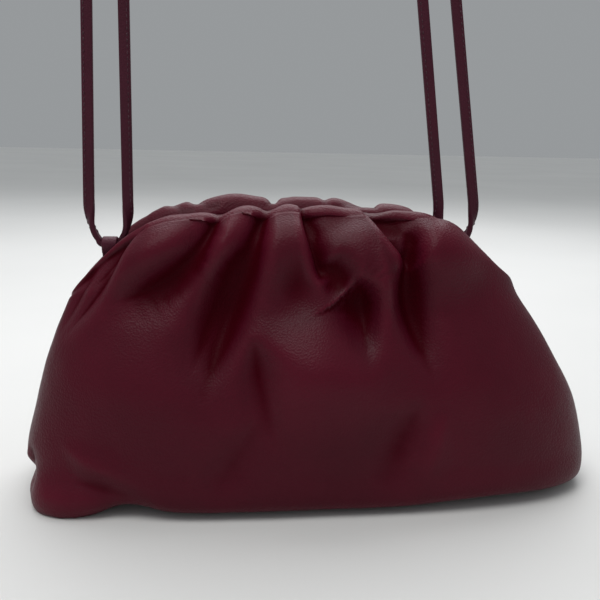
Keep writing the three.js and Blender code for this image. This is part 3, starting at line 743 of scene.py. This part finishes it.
def tab_place(side):
    """Middle of a tab loop's eye, where the strap's bend passes through it."""
    x = MOUTH_OFFSET + side * (MOUTH_LENGTH / 2 - TAB_INSET)
    return np.array([x, 0, mouth_height(x) + TAB_RISE])


def strap_line():
    """The strap's closed centre line and how far its flat side has turned to the front at each point.
    Bends are circle arcs, a strand leaves its tab on a cubic ease and then runs straight to the top."""
    top_x = MOUTH_OFFSET + TOP_OFFSET
    top_z = POUCH_HEIGHT + STRAP_DROP - TOP_BEND
    outer_bend = TOP_BEND + STRAP_THICKNESS + STRAP_CLEAR
    side = TAB_WIDTH / 2 + STRAP_GAP + STRAP_THICKNESS / 2

    def under(tab):
        turn = np.linspace(np.pi, 2 * np.pi, UNDER_POINTS)
        centre_x = tab[0] + np.where(turn < 1.5 * np.pi, -1, 1) * (side - STRAP_BEND)
        x = centre_x + STRAP_BEND * np.cos(turn)
        z = tab[2] + STRAP_BEND + STRAP_BEND * np.sin(turn)
        return np.stack([x, z, np.zeros_like(turn)], axis=-1)

    def strand(tab, hand, top_hand, bend):
        foot = np.array([tab[0] + hand * side, tab[2] + STRAP_BEND])
        mid = np.array([tab[0] + hand * STRAND_SPACING / 2, tab[2] + STRAND_HEIGHT])
        head = np.array([top_x + top_hand * bend, top_z])
        slope = (head[0] - mid[0]) / (head[1] - mid[1])
        t = np.linspace(0, 1, OFF_POINTS)[1:-1]
        rise = mid[1] - foot[1]
        ease = 1 - (1 - t) ** 4
        x = foot[0] + (mid[0] - foot[0]) * ease + slope * rise * (t**3 - t * t)
        near = np.stack([x, foot[1] + rise * t, smooth_step(t, *TURNS_FRONT)], axis=-1)
        s = np.linspace(0, 1, UP_POINTS)[:-1]
        turned = 1 - smooth_step(s, *TURNS_BACK)
        x, z = (mid[k] + (head[k] - mid[k]) * s for k in (0, 1))
        far = np.stack([x, z, turned], axis=-1)
        return np.concatenate([near, far])

    def over(bend):
        turn = np.linspace(np.pi, 0, OVER_POINTS)
        return np.stack([top_x + bend * np.cos(turn), top_z + bend * np.sin(turn), 0 * turn], axis=-1)

    left, right = tab_place(-1), tab_place(1)
    line = np.concatenate([
        under(left),
        strand(left, 1, -1, TOP_BEND),
        over(TOP_BEND),
        strand(right, -1, 1, TOP_BEND)[::-1],
        under(right),
        strand(right, 1, 1, outer_bend),
        over(outer_bend)[::-1],
        strand(left, -1, -1, outer_bend)[::-1],
    ])
    step = np.linalg.norm(line[:, :2] - np.roll(line[:, :2], 1, axis=0), axis=1)
    line = line[step > 1e-6]
    places = np.stack([line[:, 0], np.zeros(len(line)), line[:, 1]], axis=-1)
    return places, line[:, 2]


def strap_axes(places, facing):
    """The strap's own axes at each point: along it, across its flat side and through its thickness.
    The flat side lies across the pouch at 0 and has turned a quarter to face the front at 1."""
    along = unit(np.roll(places, -1, axis=0) - np.roll(places, 1, axis=0))
    depth = np.broadcast_to([0.0, 1.0, 0.0], places.shape)
    normal = np.cross(depth, along)
    turn = (facing * np.pi / 2)[:, None]
    wide = depth * np.cos(turn) + normal * np.sin(turn)
    return along, wide, np.cross(along, wide)


def along_line(places, values, at):
    """Values along a closed line, read at lengths along it."""
    closed = np.concatenate([places, places[:1]])
    reached = length_along(closed)
    ends = np.concatenate([values, values[:1]])
    columns = [np.interp(at, reached, column) for column in ends.reshape(len(ends), -1).T]
    return np.stack(columns, axis=-1)


def line_length(places):
    """Length of a closed line through its places."""
    return np.linalg.norm(np.roll(places, -1, axis=0) - places, axis=1).sum()


def tab_band():
    """The tab's folded strip seen along the pouch: its path runs up one tail, round the eye and down the
    other tail, smoothed by cutting its corners three times."""
    tail = (TAB_WALL + TAB_TAIL_GAP) / 2
    side = TAB_EYE / 2 + TAB_WALL / 2
    eye = STRAP_THICKNESS / 2 + STRAP_GAP
    crown = eye + TAB_WALL / 2
    half = [
        (-tail, -TAB_STEM),
        (-tail, -eye - TAB_WALL * TAB_LEAVES),
        (-side, -eye - TAB_WALL * TAB_REACHES),
        (-side, crown),
    ]
    path = np.array(half + [(-y, z) for y, z in half[::-1]])
    for _ in range(3):
        a, b = path[:-1], path[1:]
        cut = np.stack([0.75 * a + 0.25 * b, 0.25 * a + 0.75 * b], axis=1).reshape(-1, 2)
        path = np.concatenate([path[:1], cut, path[-1:]])
    return path


def tab_surface(place):
    """A strip carried along the tab's path, with its width along the pouch and its thickness across the
    path."""
    path = tab_band()
    places = np.stack([np.zeros(len(path)), path[:, 0], path[:, 1]], axis=-1) + place
    wide = np.broadcast_to([1.0, 0.0, 0.0], places.shape)
    thin = np.cross(unit(np.gradient(places, axis=0)), wide)
    profile = section_offsets(TAB_WIDTH / 2, TAB_WALL / 2, TAB_EDGE)
    return carry(profile, places, wide, thin)


def thread_shape():
    """One stitch: a thread of five sides that rises out of the leather, lies flat and dips back in."""
    ring = np.arange(THREAD_SIDES) * 2 * np.pi / THREAD_SIDES
    share = np.array([0.0, 0.22, 0.5, 0.78, 1.0])
    thick = np.array([0.35, 0.9, 1.0, 0.9, 0.35])
    lift = np.array([-0.9, 0.05, 0.3, 0.05, -0.9])
    shape = np.zeros((len(share), len(ring), 3))
    shape[..., 0] = (share - 0.5)[:, None]
    shape[..., 1] = np.cos(ring) * thick[:, None]
    shape[..., 2] = np.sin(ring) * thick[:, None] + lift[:, None]
    return shape


def stitch_rows(settings):
    """Points of every stitch along both flat faces of the strap, the thread's shape laid out at even
    lengths along the strap and offset towards one edge. None lies inside the eye of a tab loop."""
    places, facing = strap_line()
    length = line_length(places)
    count = int(length // settings.stitch_pitch_mm)
    at = (np.arange(count) + 0.5) * length / count
    middle = along_line(places, places, at)
    from_tabs = [np.linalg.norm(middle - tab_place(side), axis=1) for side in (-1, 1)]
    clear = np.min(from_tabs, axis=0) > TAB_WIDTH
    at, middle = at[clear], middle[clear]
    along, wide, thin = (along_line(places, axis, at) for axis in strap_axes(places, facing))
    shape = thread_shape()
    radius = settings.thread_width_mm / 2
    stitch = length / count * STITCH_SHARE
    offset = STRAP_WIDTH / 2 - settings.stitch_inset_mm
    faces = []
    for side in (-1, 1):
        base = middle + wide * offset + thin * side * STRAP_THICKNESS / 2
        cell = (
            shape[None, ..., 0, None] * stitch * along[:, None, None]
            + shape[None, ..., 1, None] * radius * wide[:, None, None]
            + shape[None, ..., 2, None] * radius * (side * thin)[:, None, None]
        )
        faces.append(base[:, None, None] + (cell if side > 0 else cell[:, :, ::-1]))
    return np.concatenate(faces)


def capped_rows(rows, around):
    """Faces of an open tube of rings closed at each end with a fan from its first point."""
    quads = grid_faces(rows, around)
    fan = np.arange(1, around - 1)
    start = np.stack([np.zeros_like(fan), fan + 1, fan], axis=-1)
    end = np.stack([np.zeros_like(fan), fan, fan + 1], axis=-1) + (rows - 1) * around
    return quads, np.concatenate([start, end])


def node(nodes, kind, **values):
    """A shader node with its attributes set."""
    made = nodes.new(kind)
    for key, value in values.items():
        setattr(made, key, value)
    return made


def new_material(name):
    """An empty node material and its shader, with the shader joined to the output."""
    material = bpy.data.materials.new(name)
    material.use_nodes = True
    shader = material.node_tree.nodes["Principled BSDF"]
    return material, material.node_tree, shader


def texture(tree, kind, scale, **inputs):
    """A 3-D texture on the piece's own coordinates."""
    coordinates = tree.nodes.get("place") or node(tree.nodes, "ShaderNodeTexCoord")
    coordinates.name = "place"
    made = node(tree.nodes, kind)
    tree.links.new(coordinates.outputs["Object"], made.inputs["Vector"])
    made.inputs["Scale"].default_value = scale
    for key, value in inputs.items():
        made.inputs[key.replace("_", " ")].default_value = value
    return made


def ranged(tree, output, from_low, from_high, to_low, to_high):
    """A value brought from one range to another, held at its ends."""
    made = node(tree.nodes, "ShaderNodeMapRange")
    tree.links.new(output, made.inputs["Value"])
    ends = {"From Min": from_low, "From Max": from_high, "To Min": to_low, "To Max": to_high}
    for key, value in ends.items():
        made.inputs[key].default_value = value
    return made.outputs["Result"]


def mixed(tree, share, first, second):
    """Two colours mixed by a share; each is a colour or another node's output."""
    made = node(tree.nodes, "ShaderNodeMix", data_type="RGBA")
    tree.links.new(share, made.inputs["Factor"])
    for socket, colour in ((made.inputs[6], first), (made.inputs[7], second)):
        if isinstance(colour, bpy.types.NodeSocket):
            tree.links.new(colour, socket)
        else:
            socket.default_value = (*colour, 1)
    return made.outputs[2]


def bumped(tree, height, distance, strength, under=None):
    """A bump of a height in metres over another bump."""
    made = node(tree.nodes, "ShaderNodeBump")
    made.inputs["Distance"].default_value = distance
    made.inputs["Strength"].default_value = strength
    tree.links.new(height, made.inputs["Height"])
    if under:
        tree.links.new(under, made.inputs["Normal"])
    return made.outputs["Normal"]


def join(tree, shader, **outputs):
    """Links outputs to the shader's inputs of their names, where _ stands for a space."""
    for name, output in outputs.items():
        tree.links.new(output, shader.inputs[name.replace("_", " ")])


def tinted(colour, factor):
    """A colour made darker or lighter by a factor."""
    return tuple(min(1.0, channel * factor) for channel in colour)


def leather_material(name, colour, fold_shade_colour, grain, rough):
    """Soft dyed leather: cells of fine grain in the bump, slow drifts of tone, painted shade (a darker
    colour) and less sheen in the folds, a painted highlight (a lighter tone) on the ridges and a satin gloss
    that varies with the grain. The crease value is 1 in a sharp fold and -1 on a ridge."""
    material, tree, shader = new_material(name)
    drift = texture(tree, "ShaderNodeTexNoise", 28, Detail=3, Roughness=0.55)
    cells = texture(tree, "ShaderNodeTexVoronoi", 1 / (grain * MM), Randomness=1)
    cells.feature = "SMOOTH_F1"
    cells.inputs["Smoothness"].default_value = 0.35
    pores = texture(tree, "ShaderNodeTexNoise", 2.2 / (grain * MM), Detail=2, Roughness=0.6)
    creasing = texture(tree, "ShaderNodeTexNoise", 0.16 / (grain * MM), Detail=4, Roughness=0.6)
    creasing.inputs["Distortion"].default_value = 0.6
    crease = node(tree.nodes, "ShaderNodeAttribute", attribute_name="crease").outputs["Fac"]

    drifted = ranged(tree, drift.outputs["Fac"], 0.35, 0.68, 0, 1)
    tone = mixed(tree, drifted, tinted(colour, 0.88), tinted(colour, 1.1))
    speckled = ranged(tree, pores.outputs["Fac"], 0.35, 0.7, 0, 0.5)
    tone = mixed(tree, speckled, tone, tinted(colour, 0.7))
    # Painted shade: the colour darkens towards the fold shade colour where the crease value is high, in the
    # folds.
    tone = mixed(tree, ranged(tree, crease, 0.05, 1.0, 0, 0.92), tone, fold_shade_colour)
    # Painted highlight: the colour lightens on the ridges and puffs, where the crease value is low.
    tone = mixed(tree, ranged(tree, crease, -0.9, -0.15, 0.4, 0), tone, tinted(colour, 1.5))
    gloss = ranged(tree, cells.outputs["Distance"], 0, 0.7, rough - 0.05, rough + 0.09)
    sheen = ranged(tree, crease, 0, 0.85, SHEEN, FOLD_SHEEN)

    relief = bumped(tree, creasing.outputs["Fac"], 0.0004, 0.10)
    relief = bumped(tree, cells.outputs["Distance"], -0.00022, 0.55, relief)
    relief = bumped(tree, pores.outputs["Fac"], 0.00008, 0.5, relief)
    join(tree, shader, Base_Color=tone, Roughness=gloss, Specular_IOR_Level=sheen, Normal=relief)
    return material


def thread_material(name, colour):
    """Waxed thread: a fine twist in the bump and a soft gloss."""
    material, tree, shader = new_material(name)
    twist = texture(tree, "ShaderNodeTexWave", 900, Distortion=1.5)
    fuzz = texture(tree, "ShaderNodeTexNoise", 3000, Detail=1)
    tone = mixed(tree, fuzz.outputs["Fac"], tinted(colour, 0.8), tinted(colour, 1.25))
    relief = bumped(tree, twist.outputs["Fac"], 0.0001, 0.5)
    join(tree, shader, Base_Color=tone, Normal=relief)
    shader.inputs["Roughness"].default_value = 0.55
    return material


def frame_material(name, colour):
    """Brushed metal: noise stretched along the frame in the roughness and the bump."""
    material, tree, shader = new_material(name)
    brush = texture(tree, "ShaderNodeTexNoise", 1, Detail=3)
    stretch = node(tree.nodes, "ShaderNodeMapping")
    stretch.inputs["Scale"].default_value = (60, 2500, 2500)
    tree.links.new(tree.nodes["place"].outputs["Object"], stretch.inputs["Vector"])
    tree.links.new(stretch.outputs["Vector"], brush.inputs["Vector"])
    tone = mixed(tree, brush.outputs["Fac"], tinted(colour, 0.85), tinted(colour, 1.1))
    gloss = ranged(tree, brush.outputs["Fac"], 0.3, 0.7, 0.28, 0.46)
    relief = bumped(tree, brush.outputs["Fac"], 0.00003, 0.4)
    join(tree, shader, Base_Color=tone, Roughness=gloss, Normal=relief)
    shader.inputs["Metallic"].default_value = 1.0
    return material


def stage_material(name, floor_colour):
    """A pale painted surface with a faint slow drift of tone."""
    material, tree, shader = new_material(name)
    cloud = texture(tree, "ShaderNodeTexNoise", 3, Detail=3)
    drift = ranged(tree, cloud.outputs["Fac"], 0.3, 0.7, 0, 1)
    tone = mixed(tree, drift, tinted(floor_colour, 0.97), tinted(floor_colour, 1.03))
    join(tree, shader, Base_Color=tone)
    shader.inputs["Roughness"].default_value = 0.75
    return material


COLOUR_RANGE = {"size": 3, "min": 0.0, "max": 1.0}


class PouchSettings(bpy.types.PropertyGroup):
    """Sizes and colours of the leather pouch."""

    fold_strength: FloatProperty(
        name="Fold Strength", description="How deep the folds and puffs are, as a share of their table",
        default=1.0, min=0.0, max=1.3, subtype="FACTOR",
    )
    grain_mm: FloatProperty(
        name="Grain", description="Size of one cell of the leather's grain, in millimetres",
        default=0.75, min=0.2,
    )
    roughness: FloatProperty(
        name="Roughness", description="Middle roughness of the leather's satin face",
        default=0.38, subtype="FACTOR",
    )
    around: IntProperty(
        name="Points Around", description="Points of each ring of the pouch", default=450, min=80,
    )
    outer_rings: IntProperty(
        name="Outer Rings", description="Rings from the base to the lip", default=160, min=20,
    )
    lip_rings: IntProperty(name="Lip Rings", description="Rings over the lip's roll", default=14, min=4)
    inner_rings: IntProperty(name="Inner Rings", description="Rings down the inside", default=28, min=6)
    front_share: FloatProperty(
        name="Front Density", description="How much closer the points lie on the front than on the back",
        default=1.35, min=1.0,
    )
    colour: FloatVectorProperty(
        name="Leather Colour", description="Colour of the dyed leather on open surfaces",
        default=(0.066, 0.0018, 0.0098), subtype="COLOR", **COLOUR_RANGE,
    )
    # Painted shade: the darker colour that the leather is mixed towards inside the folds.
    fold_shade_colour: FloatVectorProperty(
        name="Fold Colour", description="Deeper colour of the leather inside the folds",
        default=(0.038, 0.0004, 0.0030), subtype="COLOR", **COLOUR_RANGE,
    )


class StrapSettings(bpy.types.PropertyGroup):
    """Sizes and colours of the strap, the tab loops and their thread."""

    edge_mm: FloatProperty(
        name="Edge Radius", description="Radius of the strap's painted edges, in millimetres",
        default=0.55, min=0.1,
    )
    stitch_pitch_mm: FloatProperty(
        name="Stitch Pitch", description="Length from one stitch to the next, in millimetres",
        default=2.0, min=0.8,
    )
    thread_width_mm: FloatProperty(
        name="Thread Width", description="Width of the thread, in millimetres", default=0.42, min=0.1,
    )
    stitch_inset_mm: FloatProperty(
        name="Stitch Inset", description="From the strap's edge to the row of stitches, in millimetres",
        default=0.95,
    )
    colour: FloatVectorProperty(
        name="Strap Colour", description="Colour of the strap's leather",
        default=(0.060, 0.010, 0.021), subtype="COLOR", **COLOUR_RANGE,
    )
    thread_colour: FloatVectorProperty(
        name="Thread Colour", description="Colour of the stitches",
        default=(0.045, 0.006, 0.016), subtype="COLOR", **COLOUR_RANGE,
    )
    metal_colour: FloatVectorProperty(
        name="Metal Colour", description="Colour of the mouth frame",
        default=(0.55, 0.52, 0.46), subtype="COLOR", **COLOUR_RANGE,
    )


class StageSettings(bpy.types.PropertyGroup):
    """Floor, sky and lights."""

    floor_colour: FloatVectorProperty(
        name="Floor Colour", description="Pale tone of the floor",
        default=(0.66, 0.655, 0.64), subtype="COLOR", **COLOUR_RANGE,
    )
    floor_reach_mm: FloatProperty(
        name="Floor Reach", description="From the floor's middle to its edges, in millimetres",
        default=6000.0,
    )
    sky_colour: FloatVectorProperty(
        name="Sky Colour", description="Colour of the sky's light",
        default=(0.93, 0.97, 1.0), subtype="COLOR", **COLOUR_RANGE,
    )
    sky_power: FloatProperty(
        name="Overhead Light", description="Power of the large soft light overhead",
        default=8.0, subtype="POWER",
    )
    front_power: FloatProperty(
        name="Front Light", description="Power of the soft light high in front of the pouch",
        default=4.2, subtype="POWER",
    )
    ambient: FloatProperty(
        name="Ambient", description="Strength of the sky's light at the horizon", default=0.33,
    )
    zenith: FloatProperty(
        name="Zenith", description="Strength of the sky's light overhead", default=0.62,
    )


class BAG_OT_pouch(bpy.types.Operator):
    """Make the folded leather pouch"""

    bl_idname = "pouch_bag.pouch"
    bl_label = "Leather Pouch"

    def execute(self, context):
        settings = context.scene.pouch_settings
        rings, poles, crease = pouch_shell(settings)
        count, around = rings.shape[:2]
        points = to_frame(np.concatenate([rings.reshape(-1, 3), poles]))
        quads = grid_faces(count, around)
        triangles = pole_faces(count, around, count * around, count * around + 1)
        # The leather's own colour and the colour of the painted shade in its folds.
        colours = tuple(settings.colour), tuple(settings.fold_shade_colour)
        material = leather_material("pouch_leather", *colours, settings.grain_mm, settings.roughness)
        values = np.concatenate([crease.ravel(), [0, 0]])
        piece = new_piece("pouch_leather_shell", points, material, quads, triangles, {"crease": values})
        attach(piece, "root")
        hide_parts("pouch_body")
        return {"FINISHED"}


class BAG_OT_tabs(bpy.types.Operator):
    """Make the two leather tab loops in the ends of the mouth"""

    bl_idname = "pouch_bag.tabs"
    bl_label = "Tab Loops"

    def execute(self, context):
        settings = context.scene.strap_settings
        colour = tuple(settings.colour)
        # The second colour is the painted shade in the tabs' folds.
        material = leather_material(
            "tab_leather", tinted(colour, TAB_TINT), tinted(colour, FOLD_SHADE_TINT), TAB_GRAIN, STRAP_ROUGHNESS
        )
        for side, label in ((-1, "left"), (1, "right")):
            surface = tab_surface(tab_place(side))
            quads, caps = capped_rows(*surface.shape[:2])
            piece = new_piece(f"tab_loop_{label}", to_frame(surface), material, quads, caps)
            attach(piece, "root")
            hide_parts(f"loop_{label}")
        return {"FINISHED"}


class BAG_OT_strap(bpy.types.Operator):
    """Make the doubled shoulder strap as one closed strip"""

    bl_idname = "pouch_bag.strap"
    bl_label = "Shoulder Strap"

    def execute(self, context):
        settings = context.scene.strap_settings
        places, facing = strap_line()
        _, wide, thin = strap_axes(places, facing)
        profile = section_offsets(STRAP_WIDTH / 2, STRAP_THICKNESS / 2, settings.edge_mm)
        surface = carry(profile, places, wide, thin)
        colour = tuple(settings.colour)
        # The second colour is the painted shade in the strap's folds.
        material = leather_material(
            "strap_leather", colour, tinted(colour, FOLD_SHADE_TINT), STRAP_GRAIN, STRAP_ROUGHNESS
        )
        quads = grid_faces(*surface.shape[:2], close_rows=True)
        piece = new_piece("doubled_strap", to_frame(surface), material, quads)
        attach(piece, "root")
        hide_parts("shoulder_strap")
        return {"FINISHED"}


class BAG_OT_stitches(bpy.types.Operator):
    """Make the row of stitches along the strap"""

    bl_idname = "pouch_bag.stitches"
    bl_label = "Strap Stitches"

    def execute(self, context):
        settings = context.scene.strap_settings
        stitches = stitch_rows(settings)
        count, rows, around = stitches.shape[:3]
        quads, caps = capped_rows(rows, around)
        shift = (np.arange(count) * rows * around)[:, None, None]
        all_quads = (quads[None] + shift).reshape(-1, 4)
        all_caps = (caps[None] + shift).reshape(-1, 3)
        material = thread_material("strap_thread", tuple(settings.thread_colour))
        piece = new_piece("strap_stitches", to_frame(stitches), material, all_quads, all_caps)
        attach(piece, "root")
        return {"FINISHED"}


class BAG_OT_frame(bpy.types.Operator):
    """Give the mouth frame its brushed metal"""

    bl_idname = "pouch_bag.frame"
    bl_label = "Mouth Frame"

    def execute(self, context):
        material = frame_material("frame_metal", tuple(context.scene.strap_settings.metal_colour))
        for slot in frame["nodes"]["mouth_frame"].material_slots:
            slot.material = material
        return {"FINISHED"}


def stage_surface(half_size):
    """A flat square floor under the bag's own origin, as a grid of places in millimetres."""
    steps = np.linspace(-half_size, half_size, 9)
    surface = np.zeros((len(steps), len(steps), 3))
    surface[..., 0] = steps
    surface[..., 1] = steps[:, None]
    return surface


def placed(data, axes, place):
    """An object for a light or camera, with its own three axes, at a place in metres."""
    made = bpy.data.objects.new(data.name, data)
    turned = Matrix(np.stack(axes, axis=1).tolist()).to_4x4()
    turned.translation = place
    made.matrix_world = turned
    bpy.context.scene.collection.objects.link(made)
    return made


def soft_light(row, aim, power):
    """A rectangular area light in metres, from its row of LIGHTS, turned to face its aim."""
    light = bpy.data.lights.new(row["name"], "AREA")
    light.shape = "RECTANGLE"
    light.size, light.size_y = row["size"]
    light.energy = power
    light.color = row["colour"]
    offset = np.array(row["offset"])
    back = unit(offset)
    side = unit(np.cross([0.0, 1.0, 0.01], back))
    placed(light, [side, np.cross(back, side), back], aim + offset)


def photo_camera():
    """The camera at the photograph's place, with its yaw, pitch and roll, for a square picture."""
    yaw, pitch, roll = np.radians(CAMERA_TURN)
    forward = np.array([np.sin(yaw) * np.cos(pitch), np.cos(yaw) * np.cos(pitch), -np.sin(pitch)])
    level = np.array([np.cos(yaw), -np.sin(yaw), 0.0])
    upright = np.cross(level, forward)
    right = level * np.cos(roll) + upright * np.sin(roll)
    up = upright * np.cos(roll) - level * np.sin(roll)
    camera = bpy.data.cameras.new("photo_camera")
    camera.sensor_width = 36.0
    camera.lens = CAMERA_LENS
    camera.clip_start = 0.01
    axes = [right, up, -forward]
    bpy.context.scene.camera = placed(camera, axes, to_frame(np.array(CAMERA_PLACE)))


class BAG_OT_stage(bpy.types.Operator):
    """Make the pale stage, its soft lights and the camera"""

    bl_idname = "pouch_bag.stage"
    bl_label = "Stage"

    def execute(self, context):
        settings = context.scene.stage_settings
        surface = stage_surface(settings.floor_reach_mm)
        material = stage_material("stage_paint", tuple(settings.floor_colour))
        quads = grid_faces(*surface.shape[:2], close_columns=False)
        floor = new_piece("stage_floor", to_frame(surface), material, quads)
        middle = to_frame(np.array(POUCH_MIDDLE))
        for row in LIGHTS:
            soft_light(row, middle, getattr(settings, row["power"]))
        world = bpy.data.worlds.new("soft_sky")
        world.use_nodes = True
        sky = world.node_tree.nodes["Background"]
        sky.inputs["Color"].default_value = (*settings.sky_colour, 1)
        tree = world.node_tree
        height = node(tree.nodes, "ShaderNodeSeparateXYZ")
        place = node(tree.nodes, "ShaderNodeTexCoord")
        tree.links.new(place.outputs["Generated"], height.inputs["Vector"])
        brightness = settings.ambient, settings.zenith
        strength = ranged(tree, height.outputs["Z"], *SKY_BRIGHTENS, *brightness)
        tree.links.new(strength, sky.inputs["Strength"])
        context.scene.world = world
        context.scene.view_settings.view_transform = "Standard"
        photo_camera()
        return {"FINISHED"}


class BAG_PT_panel(bpy.types.Panel):
    """Buttons and settings of the pouch bag"""

    bl_idname = "BAG_PT_panel"
    bl_label = "Pouch Bag"
    bl_space_type = "VIEW_3D"
    bl_region_type = "UI"
    bl_category = "Pouch Bag"

    def draw(self, context):
        for operator in OPERATORS:
            self.layout.operator(operator.bl_idname)
        for name in SETTINGS:
            group = getattr(context.scene, name)
            for key in group.__annotations__:
                self.layout.prop(group, key)


OPERATORS = (BAG_OT_pouch, BAG_OT_tabs, BAG_OT_strap, BAG_OT_stitches, BAG_OT_frame, BAG_OT_stage)
SETTINGS = {
    "pouch_settings": PouchSettings,
    "strap_settings": StrapSettings,
    "stage_settings": StageSettings,
}


def register():
    for group in SETTINGS.values():
        bpy.utils.register_class(group)
    for name, group in SETTINGS.items():
        setattr(bpy.types.Scene, name, PointerProperty(type=group))
    for operator in OPERATORS:
        bpy.utils.register_class(operator)
    bpy.utils.register_class(BAG_PT_panel)


def unregister():
    bpy.utils.unregister_class(BAG_PT_panel)
    for operator in reversed(OPERATORS):
        bpy.utils.unregister_class(operator)
    for name, group in SETTINGS.items():
        delattr(bpy.types.Scene, name)
        bpy.utils.unregister_class(group)


def main():
    """Makes every piece in order."""
    register()
    bpy.ops.pouch_bag.stage()
    bpy.ops.pouch_bag.frame()
    bpy.ops.pouch_bag.pouch()
    bpy.ops.pouch_bag.tabs()
    bpy.ops.pouch_bag.strap()
    bpy.ops.pouch_bag.stitches()


if __name__ == "__main__":
    main()
